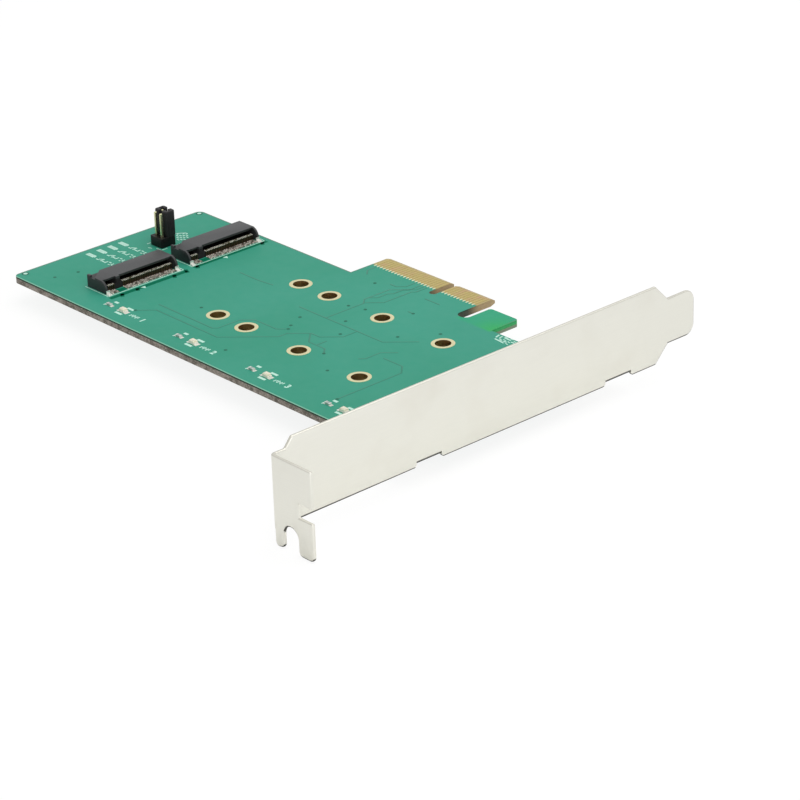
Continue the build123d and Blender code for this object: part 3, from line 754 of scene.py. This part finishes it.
# white print: outlines, pointers and short marks
boardPrint = {
    "height": 0.02,
    "outline": [(-60.4, -10.9), (-51.85, -10.9), (-51.85, 11.1), (-60.4, 11.1)],
    "outlineWidth": 0.2,
    "pointers": [(-50.4, -51.3), (-50.6, -26.8)],
    "pointerRadius": 0.75,
    "pointerSides": 3,
    "pointerTurn": 30.0,
    "headerCorner": [[(-66.8, -34.7), (-65.0, -34.7), (-65.0, -33.0)], [(-65.0, -30.4), (-65.0, -29.2)],
                     [(-70.6, -34.5), (-70.6, -33.7)], [(-69.5, -33.6), (-69.5, -32.9)],
                     [(-68.5, -35.8), (-67.7, -35.5)]],
    "headerCornerWidth": 0.22,
    "headerGrid": {"start": (-70.6, -25.7), "row": (1.0, -0.7), "step": (0.45, 0.6), "length": 0.5,
                   "count": 4, "missing": ((3, 3), (0, 1))},
    "headerBar": [(-70.8, -25.8), (-69.5, -24.0)],
    "headerMarkWidth": 0.32,
    "legendRows": (-48.1, -44.9, -41.7, -38.5),
    "legendBlock": (-0.45, -0.15, 0.15, 0.45),
    "legendBlockSpan": (-76.0, -73.0),
    "legendMarks": [[(-71.9, -0.5), (-71.3, -0.5)], [(-71.3, -0.1), (-70.5, 0.5)],
                    [(-70.3, -0.5), (-70.3, 0.5)], [(-69.8, -0.4), (-69.2, -0.4)],
                    [(-68.7, -0.5), (-68.7, 0.3)], [(-68.0, 0.4), (-67.5, 0.4)],
                    [(-67.2, -0.6), (-66.6, -0.6), (-66.6, 0.4)], [(-66.0, -0.5), (-65.4, 0.3)],
                    [(-64.9, -0.3), (-64.3, -0.3)]],
    "legendWidth": 0.34,
    "lightEnds": [[(-0.8, -1.4), (0.8, -1.4)], [(-0.5, 1.9), (1.0, 1.9)], [(-5.4, 2.05), (-4.8, 2.05)]],
    "lightEndWidth": 0.72,
    "lightStrokes": [[(2.9 + 0.5 * k, -0.5 + 0.4 * (k % 2)), (2.9 + 0.5 * k, 0.1 + 0.15 * (k % 3))]
                     for k in range(6)] + [[(-6.4, -0.6), (-6.4, 0.6)]],
    "lightStrokeWidth": 0.3,
    "numberPlace": (7.2, -0.2),
    "numberSize": 2.2,
    "numberWeight": 0.1,
    "bracketBold": [[(28.9, -15.4), (31.6, -15.7)], [(28.3, -14.5), (28.0, -13.5)],
                    [(30.1, -13.6), (31.8, -13.7)], [(29.1, -14.1), (29.1, -13.6)],
                    [(31.2, -15.0), (31.8, -15.0)], [(32.8, -14.2), (33.4, -14.2)]],
    "bracketBoldWidth": 0.42,
    "bracketFine": [[(29.8, -13.2), (30.6, -13.2)], [(31.4, -13.1), (32.1, -13.1)],
                    [(32.8, -13.5), (33.5, -13.6)], [(32.0, -14.5), (32.6, -14.7)],
                    [(29.4, -14.6), (30.0, -14.7)], [(30.5, -14.4), (31.2, -14.5)],
                    [(32.3, -15.5), (33.0, -15.7)], [(29.9, -15.1), (30.6, -15.1)]],
    "bracketFineWidth": 0.26,
}
inkHeight = boardPrint["height"]


def shifted(routes, dx, dy):
    return [[(px + dx, py + dy) for px, py in route] for route in routes]


bars = []
for rowY in socketRows.values():
    bars += addBars(shifted([boardPrint["outline"]], 0.0, rowY), boardPrint["outlineWidth"], inkHeight)
# pointers at the first contact of each socket
for px, py in boardPrint["pointers"]:
    bpy.ops.mesh.primitive_cylinder_add(vertices=boardPrint["pointerSides"],
                                        radius=boardPrint["pointerRadius"] * mm, depth=inkHeight * mm,
                                        location=(px * mm, py * mm, inkHeight / 2 * mm),
                                        rotation=(0, 0, math.radians(boardPrint["pointerTurn"])))
    bpy.ops.object.transform_apply(location=True, rotation=True)
    bars.append(bpy.context.object)
# corner of the header outline, and rows of short marks beside it
bars += addBars(boardPrint["headerCorner"], boardPrint["headerCornerWidth"], inkHeight)
grid = boardPrint["headerGrid"]
headerMarks = []
for row in range(grid["count"]):
    for step in range(grid["count"]):
        if (row, step) not in grid["missing"]:
            px, py = [s + row * r + step * t for s, r, t in zip(grid["start"], grid["row"], grid["step"])]
            headerMarks.append([(px, py), (px + grid["length"], py)])
bars += addBars(headerMarks + [boardPrint["headerBar"]], boardPrint["headerMarkWidth"], inkHeight)
# four rows that tell the settings: a block of strokes, then small marks
left, right = boardPrint["legendBlockSpan"]
block = [[(left, shift), (right - abs(shift), shift)] for shift in boardPrint["legendBlock"]]
for rowY in boardPrint["legendRows"]:
    legend = shifted(block + boardPrint["legendMarks"], 0.0, rowY)
    bars += addBars(legend, boardPrint["legendWidth"], inkHeight)
# marks at the lights and their resistors, with a plain number for each light
for count, (px, py) in enumerate(lightPlaces):
    bars += addBars(shifted(boardPrint["lightEnds"], px, py), boardPrint["lightEndWidth"], inkHeight)
    bars += addBars(shifted(boardPrint["lightStrokes"], px, py), boardPrint["lightStrokeWidth"], inkHeight)
    bpy.ops.object.text_add()
    number = bpy.context.object
    number.data.body = str(count + 1)
    number.data.size = boardPrint["numberSize"] * mm
    number.data.align_x = "CENTER"
    number.data.align_y = "CENTER"
    number.data.offset = boardPrint["numberWeight"] * mm
    number.data.extrude = inkHeight / 2 * mm
    bpy.ops.object.convert(target="MESH")
    number = bpy.context.object
    dx, dy = boardPrint["numberPlace"]
    number.location = ((px + dx) * mm, (py + dy) * mm, inkHeight / 2 * mm)
    bpy.ops.object.transform_apply(location=True)
    bars.append(number)
# marks near the bracket
bars += addBars(boardPrint["bracketBold"], boardPrint["bracketBoldWidth"], inkHeight)
bars += addBars(boardPrint["bracketFine"], boardPrint["bracketFineWidth"], inkHeight)
finishPiece(joinAll(bars, "boardPrint"), printInk)
print("print done")

# solder lands: under the socket feet, the hold-down tabs, the lights and the resistors
solderLands = {
    "height": 0.03,
    "contactPitch": 0.5,
    "contactGroups": ((-4.75, 1, 29), (-7.5, -1, 4)),  # first place, way and count on each side of the key
    "frontRow": {"x": -53.15, "size": (1.85, 0.27)},
    "backRow": {"x": -60.9, "size": (1.5, 0.27)},
    "tabX": -52.6,
    "tabShift": 10.0,
    "tabSize": (1.2, 1.2),
    "lightShift": 1.25,
    "lightSize": (0.9, 1.4),
    "resistorEnd": 0.9,
    "resistorSize": (0.75, 0.95),
}


def addLands(size, places):
    height = solderLands["height"]
    return repeatAt(addBox((0, 0, 0), (*size, height)), [(px, py, height / 2) for px, py in places])


pitch = solderLands["contactPitch"]
contactYs = [start + way * pitch * k for start, way, count in solderLands["contactGroups"]
             for k in range(count)]
for side, rowY in socketRows.items():
    lands = []
    for row in (solderLands["frontRow"], solderLands["backRow"]):
        lands += addLands(row["size"], [(row["x"], rowY + cy) for cy in contactYs])
    finishPiece(joinAll(lands, f"{side}SocketLands"), contactMetal)
bothEnds = (-1, 1)
lands = addLands(solderLands["tabSize"], [(solderLands["tabX"], rowY + end * solderLands["tabShift"])
                                          for rowY in socketRows.values() for end in bothEnds])
lands += addLands(solderLands["lightSize"], [(px + end * solderLands["lightShift"], py)
                                             for px, py in lightPlaces for end in bothEnds])
lands += addLands(solderLands["resistorSize"], [(px + lightRow["resistorShift"]
                                                 + end * solderLands["resistorEnd"], py)
                                                for px, py in lightPlaces for end in bothEnds])
finishPiece(joinAll(lands, "solderLands"), tinned)

# necks that lead from the edge contacts under the mask, on both faces
fingerNecks = {"size": (0.32, 0.9, 0.04), "y": -5.72, "lift": 0.02, "pitch": 1.0, "first": 1.5,
               "left": 21, "right": 11}
neckXs = [-fingerNecks["first"] - fingerNecks["pitch"] * k for k in range(fingerNecks["left"])]
neckXs += [fingerNecks["first"] + fingerNecks["pitch"] * k for k in range(fingerNecks["right"])]
necks = []
for level in (fingerNecks["lift"], -boardThickness - fingerNecks["lift"]):
    neck = addBox((0, 0, 0), fingerNecks["size"])
    necks += repeatAt(neck, [(nx, fingerNecks["y"], level) for nx in neckXs])
finishPiece(joinAll(necks, "fingerNecks"), neckGold)
print("lands done")

# two dots at the board's left corners, each in its own round window of the mask
cornerDots = {"places": [(-76.8, -65.6), (-76.8, -13.7)], "sides": 24, "radius": 0.5, "height": 0.04,
              "windowRadius": 0.85, "windowHeight": 0.02}
for radius, height, name, paint, slotName in (
        (cornerDots["radius"], cornerDots["height"], "cornerDots", printInk, "tin"),
        (cornerDots["windowRadius"], cornerDots["windowHeight"], "dotWindows", viaDark, "board_green")):
    dots = repeatAt(addDisc(radius, height, cornerDots["sides"]),
                    [(px, py, height / 2) for px, py in cornerDots["places"]])
    finishPiece(joinAll(dots, name), paint)

# rings on the underside of the drive holes
undersideRings = {"height": 0.05, "outer": 2.7, "inner": 1.85, "sides": 48, "cardStop": -57.6,
                  "driveLengths": (32.0, 42.0, 60.0, 80.0)}
bpy.ops.mesh.primitive_circle_add(vertices=undersideRings["sides"], radius=undersideRings["inner"] * mm)
ring = bpy.context.object
widening = undersideRings["outer"] / undersideRings["inner"]
bpy.ops.object.mode_set(mode="EDIT")
bpy.ops.mesh.extrude_edges_indiv()
bpy.ops.transform.resize(value=(widening, widening, 1))
bpy.ops.mesh.select_all(action="SELECT")
bpy.ops.mesh.extrude_region_move(TRANSFORM_OT_translate={"value": (0, 0, -undersideRings["height"] * mm)})
bpy.ops.mesh.select_all(action="SELECT")
bpy.ops.mesh.normals_make_consistent(inside=False)
bpy.ops.object.mode_set(mode="OBJECT")
holeXs = [undersideRings["cardStop"] + length for length in undersideRings["driveLengths"]]
rings = repeatAt(ring, [(hx, rowY, -boardThickness) for hx in holeXs for rowY in socketRows.values()])
finishPiece(joinAll(rings, "undersideRings"), ringGold)
print("underside rings done")

# solder cones round the header pins, on the underside
headerSolder = {"middle": (-67.7, -31.95), "pinShift": 1.0, "sides": 24, "wide": 0.8, "narrow": 0.32,
                "height": 0.8}
bpy.ops.mesh.primitive_cone_add(vertices=headerSolder["sides"], radius1=headerSolder["narrow"] * mm,
                                radius2=headerSolder["wide"] * mm, depth=headerSolder["height"] * mm)
cone = bpy.context.object
bpy.ops.object.shade_smooth_by_angle(angle=roundAngle)
pinX, pinY = headerSolder["middle"]
coneLevel = -boardThickness - headerSolder["height"] / 2
cones = repeatAt(cone, [(pinX + a * headerSolder["pinShift"], pinY + b * headerSolder["pinShift"], coneLevel)
                        for a in bothEnds for b in bothEnds])
finishPiece(joinAll(cones, "headerSolder"), tinned)
print("header solder done")

# slot bracket: its edges are rounded, but not in the notches at the ears and at one prong
slotBracket = {
    "bevel": 0.3,
    "segments": 3,
    "sharpZones": [((57.0, -67.9, -4.0), (60.0, -57.9, -1.0)), ((57.0, -12.9, -4.0), (60.0, -2.3, -1.0)),
                   ((47.0, -67.0, -3.0), (59.1, -2.0, -1.5)), ((58.0, -104.3, -6.7), (60.1, -102.9, -2.6))],
}
bracket = copyPart("bracket", "slotBracket", slotBracket["bevel"], slotBracket["segments"],
                   slotBracket["sharpZones"])
finishPiece(bracket, bracketSteel, ["bracket"])
print("slot bracket done")

# drive sockets
driveSockets = {"bevel": 0.08}
for side in socketRows:
    housing = copyPart(f"{side}_socket_housing", f"{side}DriveSocket", driveSockets["bevel"])
    finishPiece(housing, socketPlastic, [f"{side}_socket_housing"])
print("drive sockets done")

# pin header and jumper cap
pinHeader = {"bevel": 0.08, "capBevel": 0.14, "capSegments": 3}
base = copyPart("header_base", "headerBase", pinHeader["bevel"])
finishPiece(base, headerPlastic, ["header_base"])
cap = copyPart("jumper_cap", "jumperCap", pinHeader["capBevel"], pinHeader["capSegments"])
finishPiece(cap, capPlastic, ["jumper_cap"])
print("pin header done")

# bracket screws: below the ears the shank narrows to its core, with the thread wound round it
bracketScrews = {
    "bevel": 0.08,
    "places": [(51.6, -62.9), (51.6, -17.4)],
    "reach": 4.0,
    "outer": 1.5,
    "core": 1.22,
    "neck": (-2.3, -2.45),
    "neckMargin": 0.01,
    "rib": 0.2,
    "ribSides": 3,
    "ribTurn": (90.0, 90.0, 0.0),
    "pitch": 0.5,
    "turns": 5,
    "steps": 24,
    "threadFrom": -4.8,
}
screws = copyPart("bracket_screws", "bracketScrews", bracketScrews["bevel"])
bpy.ops.object.mode_set(mode="EDIT")
for level in bracketScrews["neck"]:
    bpy.ops.mesh.select_all(action="SELECT")
    bpy.ops.mesh.bisect(plane_co=(0, 0, level * mm), plane_no=(0, 0, 1))
narrowing = bracketScrews["core"] / bracketScrews["outer"]
shankTop = (bracketScrews["neck"][1] + bracketScrews["neckMargin"]) * mm  # just above the lower cut
for px, py in bracketScrews["places"]:
    bpy.ops.mesh.select_all(action="DESELECT")
    bpy.ops.object.mode_set(mode="OBJECT")
    for vertex in screws.data.vertices:
        vertex.select = vertex.co.z < shankTop and abs(vertex.co.y - py * mm) < bracketScrews["reach"] * mm
    bpy.ops.object.mode_set(mode="EDIT")
    bpy.ops.mesh.select_mode(type="VERT")
    bpy.ops.transform.resize(value=(narrowing, narrowing, 1), center_override=(px * mm, py * mm, 0))
bpy.ops.object.mode_set(mode="OBJECT")
# a small triangle, wound upwards by the screw modifier and closed at both ends
bpy.ops.mesh.primitive_circle_add(vertices=bracketScrews["ribSides"], radius=bracketScrews["rib"] * mm,
                                  location=((bracketScrews["outer"] - bracketScrews["rib"]) * mm, 0, 0),
                                  rotation=[math.radians(a) for a in bracketScrews["ribTurn"]])
thread = bpy.context.object
bpy.ops.object.transform_apply(location=True, rotation=True)
applyModifier(thread, "SCREW", axis="Z", screw_offset=bracketScrews["pitch"] * mm,
              iterations=bracketScrews["turns"], steps=bracketScrews["steps"],
              render_steps=bracketScrews["steps"])
bpy.ops.object.mode_set(mode="EDIT")
bpy.ops.mesh.select_all(action="SELECT")
bpy.ops.mesh.fill_holes(sides=bracketScrews["ribSides"])
bpy.ops.mesh.select_all(action="SELECT")
bpy.ops.mesh.normals_make_consistent(inside=False)
bpy.ops.object.mode_set(mode="OBJECT")
bpy.ops.object.shade_smooth_by_angle(angle=math.radians(copied["sharp"]))
threads = repeatAt(thread, [(px, py, bracketScrews["threadFrom"]) for px, py in bracketScrews["places"]])
screws = joinAll([screws] + threads, "bracketScrews")
finishPiece(screws, screwSteel, ["bracket_screws"])
print("bracket screws done")
